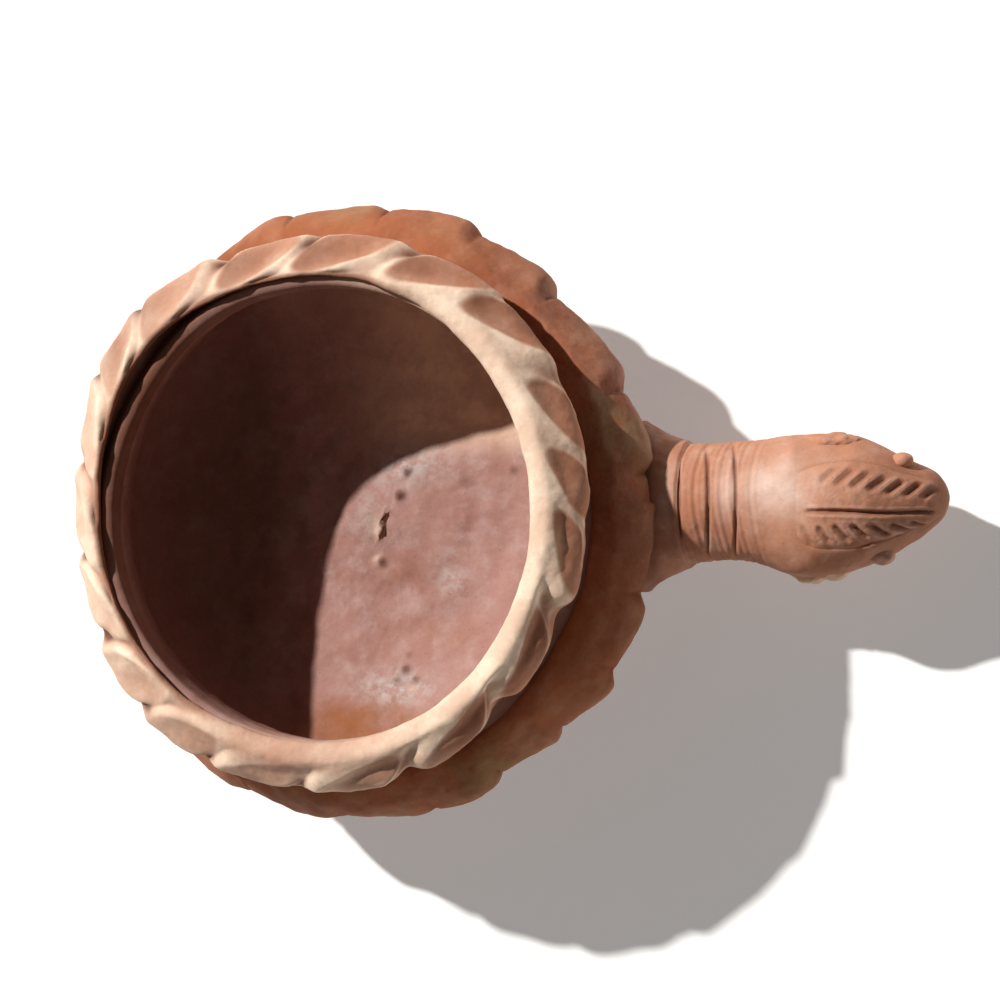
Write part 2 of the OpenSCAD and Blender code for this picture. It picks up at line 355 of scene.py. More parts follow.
def build_bowl():
    """The thrown bowl, with turning lines, a worn floor and a lip that dips on one side."""
    section = bowl_section()
    normals = left_normals(section, False)
    angles = np.linspace(0, TAU, BOWL_ROWS, endpoint=False)
    base = revolve(section, angles)
    r, z = section[:, 0], section[:, 1]
    x, y = base[..., 0], base[..., 1]
    a = angles[:, None]
    inner = np.arange(len(r)) > OUTER_COLS
    on_lip = z > LIP_H - 4
    on_floor = (z < LIP_H - 20) * inner
    depth = smooth(LIP_H - 2, LIP_H - 10, z) * inner

    turning = 0.05 * np.sin(TAU * (z / 4.6) + a) * depth * smooth(20, 38, r)
    swirl = 0.1 * np.sin(TAU * r / 8.5 - a) * (1 - smooth(28, 36, r)) * on_floor * smooth(2, 8, r)
    grain = 0.45 * fbm(base, 17, 11) * depth + 0.12 * fbm(base, 3, 12) * (0.4 + depth)
    pits = floor_pits(base)
    crumbs = spots(x, y, CRUMBS)
    push = turning + swirl + grain + (0.55 * crumbs - pits) * on_floor
    dip = -1.5 * around(a, 146, 22) * smooth(LIP_H - 9, LIP_H - 1, z)
    sunk = np.stack([0 * dip, dip], -1)
    grid = revolve(section[None] + sunk + normals[None] * push[..., None], angles)

    # Painted highlight: a pale band inside the lip on the handle's side, which faces the light.
    lip_highlight = bump(r, MOUTH_R + 2, 2.8) * on_lip * smooth(-0.35, 0.3, np.cos(a + 0.25))
    # Painted shade: a dark strip on the lip on the side towards the light, where the coil above shadows it.
    painted_lip_shade = bump(r, MOUTH_R + 1.4, 2.4) * around(a, 158, 46)
    painted_lip_shade = painted_lip_shade + bump(r, MOUTH_R + 3.4, 1.4) * around(a, 222, 34)
    painted_lip_shade = np.clip(1.2 * painted_lip_shade, 0, 1) * on_lip
    # Painted shade: the inside is darkened towards -X, the side the light comes from, where the rim shadows
    # it.
    painted_shade_left = np.maximum(smooth(-16, -30, x), 0.8 * smooth(-16, -19, x) * smooth(-8, -24, y)) * depth
    # Painted bounce light: the inside is made paler towards +Y, beside the lit patch of floor.
    painted_bounce_light = smooth(9, 19, y) * smooth(-14, 10, x) * depth
    outer = 1 - inner
    # Painted shade: the bowl's outer wall is darkened at the neck, under the rim coil.
    shade_under_rim = outer * smooth(WALL_Z + 1, WALL_Z + 6, z)
    dark = np.clip(pits * 1.2, 0, 1) * on_floor + 0.6 * painted_lip_shade + 0.7 * painted_shade_left + 0.85 * shade_under_rim
    marks = {"crest": lip_highlight + 0.45 * crumbs * on_floor + painted_bounce_light,
             "soil_and_shade": dark,
             "patch": np.clip(spots(x, y, GREY), 0, 1) * depth,
             "stain_and_painted_light": np.clip(spots(x, y, OCHRE_AND_BOUNCE_SPOTS), 0, 1) * depth + 0.9 * outer + 0.9 * painted_lip_shade}
    return make_mesh("thrown_bowl", hand_shape(grid), marks, ring_closed=False)


# ---------------------------------------------------------------- thumb-pressed coils

def along_section(section, start, end):
    """Place of each point of an evenly spaced section: 0 at index start, 1 at index end."""
    index = np.arange(len(section))
    steps = (end - start) % len(section)
    shifted = (index - start + len(section) // 3) % len(section) - len(section) // 3
    return shifted / steps


def soft_max(a, b, blend):
    """The larger of two values, with a rounded change from one to the other."""
    return 0.5 * (a + b + np.sqrt((a - b) ** 2 + blend ** 2))


# Directions of the petals' middles, in degrees from the handle
PETALS = (6, 21, 43, 61, 84, 104, 126, 143, 160, 181, 200, 219, 236, 256, 279, 304, 327, 351)
RIM_ROWS, RIM_COLS = 1060, 92
# Where the coil is wider, stands off the lip, lies higher and is drawn in: millimetres, direction and width
SPREAD = ((2.0, 136, 24), (-1.0, 184, 20), (1.4, 226, 18))
STAND_OFF = ((2.4, 142, 24), (-0.7, 214, 18))
LIE_HIGH = ((1.5, 318, 48), (-1.2, 42, 28))
DRAWN_IN = ((1.7, 320, 30),)
DRAWN_BETWEEN = ((3.0, 318, 40),)

RIM_TOP, RIM_LOW, RIM_OUT = rim_high[2], rim_low[2], rim_high[1]
RIM_SEAT = LIP_R - 0.2


def rim_section():
    """The coil's outline: up the neck, over the lip, down the pressed face and back underneath."""
    top, low, out, seat = RIM_TOP, RIM_LOW, RIM_OUT, RIM_SEAT
    behind = [(NECK_R - 0.3, low + 1.4), (seat + 0.3, LIP_H - 4), (seat - 0.5, LIP_H - 1.2)]
    over = [(seat - 1.9, LIP_H - 0.1), (seat - 2.5, LIP_H + 1.0), (seat - 2.0, top - 0.4), (seat - 0.6, top)]
    face = [(seat + 1.0, top - 0.7), (out - 3.2, top - 3.0), (out - 0.6, top - 5.2), (out + 0.5, top - 7.4)]
    under = [(out + 0.2, low + 3.6), (out - 2.0, low + 0.9), (NECK_R + 0.9, low + 0.1)]
    return spline(behind + over + face + under, RIM_COLS, True)


def rim_base(section, angles, facing):
    """The coil before it is pressed: laid on by hand, so uneven in width, height and place."""
    a_row = angles[:, None]
    r, z = section[:, 0], section[:, 1]
    over_lip = smooth(RIM_SEAT + 0.6, RIM_SEAT - 2.2, r) * smooth(LIP_H - 1.6, LIP_H - 0.4, z) * facing
    section_r = r + hills(a_row, SPREAD) * smooth(RIM_SEAT + 1, RIM_OUT, r) - 1.15 * over_lip
    section_r = section_r + hills(a_row, STAND_OFF) * smooth(LIP_H - 5, LIP_H - 1.5, z)
    on_face = smooth(RIM_SEAT + 1, RIM_OUT - 0.5, r) * smooth(RIM_LOW + 2, RIM_LOW + 6, z)
    section_z = z - 0.55 * over_lip + hills(a_row, LIE_HIGH) * on_face
    return revolve(np.stack([section_r, section_z], -1), angles)


def press_petals(a_row, across, relief, facing, left):
    """Height of the pressed petals, and where their dishes, their ends that get a painted shadow under the
    neighbour's ridge, pinches and scallops lie.
    """
    e = 2 * across - 1
    inner_end = np.clip(e, -1.1, 1.15) / 1.25
    degrees = np.degrees(a_row) + 4.5 * (np.clip(across, -0.2, 1.2) - 0.5)
    vary = np.random.default_rng(5).uniform(-1, 1, (len(PETALS), 4))
    press = 1.45 - 0.5 * left - 0.55 * around(a_row, 325, 55)
    slant = 0.34 + 0.2 * left
    height = -relief + np.zeros(degrees.shape)
    dished = np.zeros(degrees.shape)
    ridge_shadow = np.zeros(degrees.shape)
    pinch = np.zeros(degrees.shape)
    scallop = np.zeros(degrees.shape)
    for k, centre in enumerate(PETALS):
        before, after = PETALS[k - 1], PETALS[(k + 1) % len(PETALS)]
        half = ((after - before) % 360) / 4
        a = ((degrees - centre + 180) % 360 - 180) / half
        lean = inner_end + 0.06 * vary[k, 0]
        rho = (np.abs(a / 1.16) ** 2.6 + np.abs(lean + slant * a) ** 2.8) ** (1 / 2.7)
        body = 1 - smooth(0.68, 1.18, rho)
        off = (1 + 0.2 * facing) * (lean - 0.3 * facing + (slant + 0.16 * facing) * a)
        dish = (np.abs(a / 1.12) ** 2.4 + np.abs(off) ** 2.4) ** (1 / 2.4)
        thumb = np.clip(1 - (dish / (0.84 - 0.04 * facing + 0.04 * vary[k, 1])) ** 2, 0, 1)
        petal = relief * (body - 1) - (press + 0.25 * vary[k, 2]) * thumb
        petal = petal + (0.2 * vary[k, 3] - 0.4 * np.clip(a, -1, 1)) * body
        dished = np.maximum(dished, thumb)
        ridge_shadow = np.maximum(ridge_shadow, smooth(0.0, 0.4, thumb) * smooth(-0.2, 0.75, a))
        height = soft_max(height, petal, 0.22)
        pinch = pinch + bump(a, 0.84, 0.2) * bump(e, 0.45, 0.42)
        scallop = scallop + bump(a, 0.98, 0.3)
    return height - 0.9 * pinch * (1 - 0.5 * facing), dished, ridge_shadow, pinch, scallop


def rim_marks(a_row, z, e, pressed, raised, facing, left, dished, ridge_shadow, pinch):
    """Painted highlight, partly pale dust, on the petals of the side towards the light and on the inner band
    and ridges of the other side; browner dishes on the other side, partly fired clay and partly painted
    shade; painted shade in the pinches, between the petals, at the petals' shadowed ends and on the inner
    face of the lit side.
    """
    stain_and_light_weight = smooth(0.0, 0.35, dished)
    inner = 1 - smooth(-0.35, 0.25, e)
    between = (1 - dished) * (1 - inner) * (1 - smooth(0.8, 1.5, e))
    # Painted highlight: on the lit side the raised petals, on the other side the inner band and the ridges
    # between dishes.
    highlight_left = raised * (1 - 0.12 * stain_and_light_weight) * pressed
    highlight_right = inner * (1 - 0.5 * pressed * (1 - raised)) + 0.75 * between * raised * pressed
    highlight_right = highlight_right * (1 - 0.95 * stain_and_light_weight)
    # Painted highlight: the petals on the side towards the light, and those at the bottom, are made pale.
    lit_left = np.maximum(left, 0.7 * around(a_row, 262, 28))
    # The painted highlight leaves out the inner face on the side towards the light, which lies in shade.
    face = facing + (1 - facing) * smooth(-1.25, -0.95, e)
    # Painted shade on that inner face.
    shade_strip = (1 - facing) * (1 - smooth(-1.3, -0.95, e)) * (z > LIP_H - 1)
    # Painted shade in the low parts between petals and in the pinches, and a painted shadow at each petal's
    # end under its neighbour's ridge, away from the lit side.
    dark = 0.6 * (1 - raised) ** 2 * pressed + (0.7 - 0.55 * facing) * pinch
    dark = dark + 0.45 * shade_strip + 0.3 * ridge_shadow * (1 - lit_left)
    # The dishes away from the lit side are browner: partly fired clay, partly painted shade.
    return {"crest": np.clip(face * (lit_left * highlight_left + (1 - lit_left) * highlight_right), 0, 1),
            "soil_and_shade": np.clip(dark, 0, 1),
            "stain_and_painted_light": 0.95 * stain_and_light_weight * pressed * (1 - lit_left) + 0.6 * shade_strip}


def build_rim_coil():
    """Slanting thumb-pressed petals: each starts in a pinch under its neighbour and ends in a raised tip."""
    section = rim_section()
    normals = left_normals(section, True)
    angles = np.linspace(0, TAU, RIM_ROWS, endpoint=False)
    a_row = angles[:, None]
    r, z = section[:, 0], section[:, 1]
    across = along_section(section, np.argmax(z), np.argmax(r))
    e = 2 * across - 1
    facing = smooth(-0.45, 0.35, np.cos(a_row + 0.5))
    left = around(a_row, 190, 62)
    base = rim_base(section, angles, facing)
    relief = 2.2 - 0.7 * facing
    height, dished, ridge_shadow, pinch, scallop = press_petals(a_row, across, relief, facing, left)

    notched = (1 - facing) * smooth(-1.6, -1.0, e) + facing * smooth(-0.8, 0.1, e)
    pressed = notched * (1 - smooth(1.4, 2.3, e))
    inset = relief * 0.35 * (1 - facing * (1 - smooth(0.4, 1.0, e))) * (1 - pressed)
    grain = 0.3 * fbm(base, 8, 21) + 0.06 * fbm(base, 1.8, 22)
    neck = LIP_R + (NECK_R - LIP_R) * np.clip((LIP_H - 2 - z) / 10, 0, 1)
    shown = np.clip(smooth(neck - 0.05, neck + 0.6, r) + smooth(LIP_H - 1.0, LIP_H + 0.6, z), 0, 1)
    push = (height * pressed - inset + grain) * shown

    outside = smooth(RIM_TOP - 3, RIM_TOP - 7, z)
    from_neck = np.clip((r - NECK_R) / (RIM_OUT - NECK_R), 0, 1)
    drawn_in = hills(a_row, DRAWN_IN) + scallop * hills(a_row, DRAWN_BETWEEN)
    drawn_in = drawn_in * (smooth(RIM_SEAT - 0.5, RIM_OUT - 0.5, r) * (1 - outside) + from_neck * outside)
    outward = push * normals[:, 0] - drawn_in
    shift = [outward * np.cos(a_row), outward * np.sin(a_row), push * normals[:, 1]]
    grid = base + np.stack(shift, -1)
    raised = smooth(-relief, -0.2, height)
    marks = rim_marks(a_row, z, e, pressed, raised, facing, left, dished, ridge_shadow, pinch)
    return make_mesh("pressed_rim_coil", hand_shape(grid), marks)


# Directions of the creases between the lobes, in degrees from the handle
CREASES = (6, 22, 45, 64, 83, 103, 123, 144, 164, 184, 205, 226, 246, 266, 284, 299, 314, 329, 344)
BAND_ROWS, BAND_COLS = 900, 108
# Where the steps between lobes are boldest, and where the band bulges and lies high
BOLD = ((0.65, 45, 44), (0.5, 318, 30))
BULGE = ((1.8, 334, 11), (-1.5, 306, 13), (-1.2, 124, 17), (-1.5, 46, 17))
BAND_HIGH = ((2.8, 26, 36),)


def band_section(top, low, out):
    """The band's outline: up the bowl's wall, over the shoulder and down the round outer face."""
    behind = [(WALL_R - 2.4, low + 2.4), (WALL_R - 0.4, WALL_Z), (NECK_R + 2.6, WALL_Z + 6)]
    shoulder = [(NECK_R + 1.0, top - 0.9), (NECK_R + 2.9, top - 0.2), (out - 6.8, top - 1.8)]
    face = [(out - 2.8, top - 5.2), (out - 0.3, top - 9.6), (out - 0.5, low + 8.0), (out - 2.6, low + 3.4)]
    under = [(out - 5.4, low + 1.0), (WALL_R - 1.2, low + 0.4)]
    return spline(behind + shoulder + face + under, BAND_COLS, True)


def lobes_at(degrees):
    """The lobe at each direction, its width and the place across it from -1 to 1."""
    ring = np.array(CREASES + (CREASES[0] + 360,), float)
    wrapped = np.mod(degrees - ring[0], 360) + ring[0]
    number = np.clip(np.searchsorted(ring, wrapped, side="right") - 1, 0, len(CREASES) - 1)
    width = ring[number + 1] - ring[number]
    return number, width, 2 * (wrapped - ring[number]) / width - 1


def build_belly_band():
    """Broad overlapping lobes, each rising slowly and ending steeply towards the handle."""
    top, low, out = band_high[2], band_low[2], band_high[1]
    section = band_section(top, low, out)
    normals = left_normals(section, True)
    angles = np.linspace(0, TAU, BAND_ROWS, endpoint=False)
    base = revolve(section, angles)
    r, z = section[:, 0], section[:, 1]
    shoulder = np.argmin(np.hypot(r - NECK_R - 1.6, z - top + 0.4))
    across = along_section(section, shoulder, np.argmax(r))
    wander = 2.2 * noise(base, 13, 45)
    degrees = np.degrees(angles)[:, None] + wander * (1 - 0.6 * np.clip(across, 0, 1))
    number, width, a = lobes_at(degrees)
    turned = np.broadcast_to(angles[:, None], a.shape)

    steep = a * np.where(np.sin(np.radians(degrees)) >= 0, -1.0, 1.0)
    vary = np.random.default_rng(9).uniform(-1, 1, (len(CREASES), 3))
    rise = smooth(-1.3, 0.62, steep) * (1 - smooth(0.6, 1.0, steep))
    outer = smooth(0.3, 1.0, across) * (1 - smooth(1.5, 2.2, across))
    bold = 0.35 + hills(turned, BOLD)
    fullness = 2.1 + 0.5 * vary[number, 0]
    swell = fullness * (0.75 + (rise - 0.75) * bold) * outer + 2.1 * (1 - outer)
    hollow = 0.5 * (1 - a ** 2) * bump(across, 0.5 + 0.1 * vary[number, 1], 0.28)
    from_crease = (1 - np.abs(a)) * np.radians(width / 2) * out
    nick = (0.55 + 0.4 * vary[number, 2]) * bump(from_crease, 0, 0.7)
    nick = nick * bump(across, 0.9 + 0.12 * vary[number, 0], 0.3) * bold
    grain = 0.7 * fbm(base, 15, 41) + 0.12 * fbm(base, 2.6, 42)
    shown = smooth(-0.25, 0.05, across) * (1 - smooth(2.2, 2.6, across))
    push = (swell - 2.2 - hollow - nick + grain) * shown

    bulge = hills(turned, BULGE) * smooth(NECK_R + 3, out, r)
    high = hills(turned, BAND_HIGH) * smooth(NECK_R + 3, out - 5, r) * smooth(low + 5, top - 9, z)
    uneven = np.stack([bulge, high], -1)
    grid = revolve(section[None] + uneven + normals[None] * push[..., None], angles)
    # The nicks at the creases are darkened: painted shade.
    marks = {"crest": np.clip(rise * outer, 0, 1) * (1 - smooth(0.9, 1.3, across)),
             "soil_and_shade": np.clip(nick * 0.9, 0, 1),
             "patch": 0.12 * around(turned, 22, 34) * smooth(-0.1, 0.3, across),
             "stain_and_painted_light": smooth(-0.2, 0.6, fbm(base, 14, 47)) * smooth(-0.2, 0.3, across)}
    return make_mesh("pressed_belly_band", hand_shape(grid), marks)


# ---------------------------------------------------------------- foot

FOOT_ROWS, FOOT_COLS = 480, 130


def build_foot():
    """The flat foot, with the drag lines of the wire that cut it from the wheel."""
    r, h = FOOT_R, FOOT_H
    under = [(0.3, 0.35), (r * 0.55, 0.3), (r - 4, 0.02), (r - 1.4, 0.02)]
    side = [(r - 0.2, 1.0), (r - 0.1, 2.6), (r - 1.4, h - 1)]
    joined = [(BOWL_FOOT_R + 0.3, h + 0.9), (BOWL_FOOT_R - 2, h + 0.6), (0.3, h + 0.6)]
    section = spline(under + side + joined, FOOT_COLS, False)
    normals = left_normals(section, False)
    angles = np.linspace(0, TAU, FOOT_ROWS, endpoint=False)
    base = revolve(section, angles)
    underneath = (section[:, 1] < 0.6) & (section[:, 0] < r - 3)
    drag = 0.1 * np.sin(TAU * (base[..., 0] + 0.02 * base[..., 1] ** 2) / 2.4) * underneath
    grain = (0.22 * fbm(base, 8, 51) + 0.06 * fbm(base, 2, 52)) * smooth(0.3, 1.4, section[:, 1])
    push = grain - 0.9 * drag
    grid = revolve(section[None] + normals[None] * push[..., None], angles)
    grid[..., 2] = np.maximum(grid[..., 2], 0)
    marks = {"soil_and_shade": np.clip(drag * 3, 0, 1)}
    return make_mesh("foot_disc", hand_shape(grid), marks, ring_closed=False)


# ---------------------------------------------------------------- handle

KNOB_X = TIP_X - 24.5
WAIST_X = KNOB_X - 20.5
WAIST_R = KNOB_R - 1.6
RING_X = KNOB_X - 27.0
HANDLE_ROWS, HANDLE_COLS = 224, 430
COLLAR_ROWS, COLLAR_COLS = 240, 210
LEAF_ROWS, LEAF_COLS = 265, 185
# The leaf runs from just before its CAD node's start to just short of the tip, and this is its half-width
LEAF_START, LEAF_END = leaf_low[0] - 0.7, TIP_X - 0.7
LEAF_SPREAD = leaf_high[1] + 1.8
# How far the knob's own surface is let down where the leaf lies on it
BED_DEPTH = 1.3
# Scored rings: place, depth and half-width
RINGS = ((RING_X, 0.7, 0.45), (KNOB_X - 21.0, 0.75, 0.38), (KNOB_X - 15.3, 0.7, 0.34))
# Fine rubbed rings on the stem: spacing and phase
FINE_RINGS = ((1.3, 0.4), (1.9, 2.0), (2.9, 1.1))
# Painted sheen, a highlight, on the handle's top, and small lumps on the knob: strength, x, y and the two
# half-widths
SHEEN_SPOTS = ((1.0, KNOB_X - 7, 3, 6.5, 5), (0.6, KNOB_X - 30, 1.5, 2.4, 6), (0.5, KNOB_X - 17.5, 2, 2.0, 5))
KNOB_LUMPS = ((0.5, KNOB_X - 4.5, 9.5, 1.6, 1.8), (0.6, KNOB_X + 11, -8.2, 1.5, 1.2))


def handle_radius(x):
    """Plain radius of the stem and knob at x, as in the frame."""
    root = WAIST_R + 0.6 * smooth(WAIST_X, WAIST_X - 22, x)
    swell = WAIST_R + (KNOB_R - WAIST_R) * smooth(WAIST_X, KNOB_X, x)
    end = KNOB_R * np.sqrt(np.clip(1 - ((x - KNOB_X) / (TIP_X - KNOB_X)) ** 2, 0, 1))
    return np.where(x < WAIST_X, root, np.where(x < KNOB_X, swell, end))


def arc_radius(x):
    """Radius that turns an arc on the handle into an angle, held up where the tip closes."""
    return np.maximum(handle_radius(x), 4.5)


def stem_sway(x):
    """How far the stem is bent towards +Y at x."""
    return 0.9 * bump(x, WAIST_X + 3, 8)


def handle_grain(points):
    """The clay's unevenness, the same on the handle and on the leaf pressed on it."""
    return 0.45 * fbm(points, 11, 61) + 0.08 * fbm(points, 2.8, 62)


def handle_grid(x, turn, grow):
    """Points on the handle at stations x and turns about its axis, from the top towards +Y."""
    r = handle_radius(x) + grow - 1.3 * bump(x, KNOB_X + 17.5, 6)
    r = r + 1.1 * bump(x, KNOB_X - 4, 7) * np.sin(turn) ** 2
    droop = 2.0 * smooth(KNOB_X + 6, TIP_X, x) ** 1.5
    sway = stem_sway(x) - 0.8 * bump(x, KNOB_X - 3, 8) + 0.7 * smooth(KNOB_X + 12, TIP_X, x)
    return np.stack([x + 0 * turn, sway + r * np.sin(turn), HANDLE_Z + r * np.cos(turn) - droop], -1)


def sheen(x, side):
    """Where a painted sheen, a highlight, lies on the top of the handle."""
    return np.clip(spots(x, side, SHEEN_SPOTS), 0, 1)


def leaf_place(x):
    """How far along the leaf x is, its half-width there and its middle line's offset."""
    t = np.clip((x - LEAF_START) / (LEAF_END - LEAF_START), 0, 1)
    outline = np.clip(np.sin(math.pi * (0.03 + 0.94 * t ** 0.92)), 0.02, 1) ** 0.5
    return t, LEAF_SPREAD * outline, -0.9 * smooth(KNOB_X, TIP_X, x)


def darker_end(x):
    """The knob's outer half is darker than the stem."""
    return smooth(KNOB_X - 2, KNOB_X + 14, x)


def build_handle():
    """The rolled stem with its scored rings and the knob, let down where the leaf covers it."""
    start = collar_low[0] + 2.5
    t = np.linspace(0, 1, HANDLE_COLS)
    x = (start + (TIP_X - 0.15 - start) * (1 - (1 - t) ** 1.35))[None, :]
    turn = np.linspace(0, TAU, HANDLE_ROWS, endpoint=False)[:, None]
    plain = handle_grid(x, turn, 0)
    side = plain[..., 1]
    top = 0.5 + 0.5 * np.cos(turn)

    wander = 0.3 * np.sin(2 * turn + 0.5) + 0.2 * np.sin(3 * turn + 1.0)
    scored = np.zeros(plain.shape[:2])
    for place, depth, wide in RINGS:
        cut = depth * bump(x, place + 0.25 * wander - 0.3 * WAIST_R * (1 - np.cos(turn)), wide)
        scored += cut * (0.04 + 0.96 * smooth(0.66, 0.9, top))
    fine_rings = sum(np.sin(TAU * (x + wander) / pitch + phase) for pitch, phase in FINE_RINGS)
    stem = smooth(KNOB_X - 36, KNOB_X - 32, x) * (1 - smooth(KNOB_X - 15, KNOB_X - 8, x))
    grow = 0.05 * fine_rings * stem - scored + handle_grain(plain)
    grow = grow - 0.5 * smooth(TIP_X - 9, TIP_X, x) + spots(x, side, KNOB_LUMPS) * (top > 0.5)

    t, half_w, middle = leaf_place(x)
    arc = ((turn + math.pi) % TAU - math.pi) * arc_radius(x)
    under_leaf = (1 - smooth(0.7, 0.88, np.abs(arc - middle) / half_w)) * smooth(0.1, 0.45, t)
    grow = grow - BED_DEPTH * under_leaf * (1 - smooth(0.86, 0.93, t))
    # The scored rings are darkened as painted shade in the grooves; the pale top patches are a painted sheen.
    marks = {"crest": sheen(x, side) * smooth(0.5, 0.7, top),
             "soil_and_shade": np.clip(scored * 0.9, 0, 1),
             "stain_and_painted_light": darker_end(x) + 0 * turn}
    return make_mesh("rolled_handle", handle_grid(x, turn, grow), marks, ring_closed=False)


def build_collar():
    """The flare that lutes the stem to the wall, wide and low, up to the innermost scored ring."""
    start, end, flare_end = collar_low[0] - 0.5, RING_X - 0.3, collar_high[0] + 0.5
    wide, tall = collar_high[1], KNOB_R - 0.9
    t = np.linspace(0, 1, COLLAR_COLS)[None, :]
    x = start + (end - start) * t
    turn = np.linspace(0, TAU, COLLAR_ROWS, endpoint=False)[:, None]
    neck = handle_radius(end) + 0.2
    flare = np.clip((flare_end - x) / 12.5, 0, 1) ** 1.9
    across = (neck + (wide - neck) * flare) * np.sin(turn)
    upward = (neck + (tall - neck) * flare) * np.cos(turn)
    plain = np.stack([x + 0 * turn, across, HANDLE_Z + upward], -1)
    edge = 1 - 0.035 * smooth(end - 0.8, end, x)
    stem_grain = 0.45 * fbm(plain, 11, 61) / neck
    grow = (1 + stem_grain + 0.012 * fbm(plain, 6, 71) + 0.004 * fbm(plain, 2, 72)) * edge
    grid = np.stack([plain[..., 0], stem_sway(x) + across * grow, HANDLE_Z + upward * grow], -1)
    top = 0.5 + 0.5 * np.cos(turn)
    sheen_spot = bump(x, RING_X - 2.6, 1.6) * bump(across, 1.4, 6) * (top > 0.5)
    # A painted sheen near the innermost ring, and painted shade darkening the flare towards the band.
    marks = {"crest": 0.6 * sheen_spot,
             "soil_and_shade": 0.5 * smooth(RING_X - 4.5, RING_X - 7, x) + 0 * turn}
    return make_mesh("luted_collar", grid, marks, ring_closed=False)


def leaf_cut(x, arc):
    """Depth of the leaf's midrib and slanting veins at x and at an arc from the top line."""
    cut = stroke(x, arc, (KNOB_X - 0.8, -0.8), (TIP_X - 2.2, -3.1), 1.3, 0.9)
    veins = []
    for k in range(7):
        start = (KNOB_X + 2.0 + 3.1 * k, 4.6 - 0.72 * k)
        end = (start[0] + 3.1 - 0.08 * k, start[1] + 3.3 - 0.15 * k)
        veins.append(stroke(x, arc, start, end, 2.0, 0.35 + 0.14 * min(k, 4)))
    for k in range(8):
        start = (KNOB_X - 5.2 + 3.3 * k, -3.6 - 0.2 * k)
        end = (start[0] + 1.5 + 0.28 * k, start[1] - 4.0 + 0.16 * k)
        veins.append(stroke(x, arc, start, end, 1.6, 0.5 + 0.1 * min(k, 4)))
    for vein in veins:
        cut = np.where(np.abs(vein) > np.abs(cut), vein, cut)
    return cut


def build_leaf():
    """The leaf pad on the knob: its cut upper face, and a plain face sunk in the knob."""
    x = np.linspace(LEAF_START, LEAF_END, LEAF_ROWS)[:, None]
    s = np.linspace(-1, 1, LEAF_COLS)[None, :]
    t, half_w, middle = leaf_place(x)
    arc = half_w * s + middle
    turn = arc / arc_radius(x)
    edge = (1 - smooth(0.6, 1.0, np.abs(s))) * smooth(0.02, 0.42, t) * (1 - smooth(0.93, 1.0, t))
    cut = leaf_cut(x + 0 * s, arc)
    flat = handle_grid(x, turn, 0)
    wrought = 0.15 * fbm(flat, 4, 81) + 0.07 * fbm(flat, 1.2, 82) - cut
    upper = handle_grid(x, turn, handle_grain(flat) - 0.45 + (0.8 + wrought) * edge)
    lower = handle_grid(x, turn, -2.4)
    ring = np.concatenate([upper, lower[:, ::-1]], 1)
    hidden = 0 * cut
    marks = {"soil_and_shade": np.clip(cut * 0.9, 0, 1) * edge,
             "stain_and_painted_light": darker_end(x) + hidden,
             "crest": np.clip(sheen(x, flat[..., 1]) + 0.5 * np.clip(-3 * cut, 0, 1) * edge, 0, 1)}
    marks = {key: np.concatenate([value, hidden], 1).T for key, value in marks.items()}
    return make_mesh("cut_leaf", ring.transpose(1, 0, 2), marks, ring_closed=False)


LUMP_ROWS, LUMP_COLS = 120, 90
POLE_GAP = 0.02


def build_lump(name, node, seed, wide, share, lobes, pale):
    """A lump of clay pressed on the knob's side: a cap that fills a share of the box of its CAD node."""
    low, high = box_mm(node)
    middle, size = (low + high) / 2, high - low
    side = np.sign(middle[1])
    hub = np.array([middle[0], side * (abs(middle[1]) - size[1] / 2), middle[2]])
    half = np.array([size[0] / 2, size[1], size[2] / 2]) * (wide, share, wide)
    lat = np.linspace(POLE_GAP, math.pi - POLE_GAP, LUMP_COLS)[None, :]
    lon = np.linspace(0, TAU, LUMP_ROWS, endpoint=False)[:, None]
    ball = np.stack([np.sin(lat) * np.cos(lon), np.sin(lat) * np.sin(lon), np.cos(lat) + 0 * lon], -1)
    pinch = 1 - 0.22 * (lobes > 1) * bump(ball[..., 0], 0.15, 0.22)
    reach = ball * half * pinch[..., None]
    rough = 0.98 + 0.16 * fbm(hub + reach, 2.8, seed, 2) + 0.02 * fbm(hub + reach, 1.2, seed + 3, 2)
    return make_mesh(name, hub + reach * rough[..., None], {"crest": pale}, ring_closed=False)


# ---------------------------------------------------------------- clay

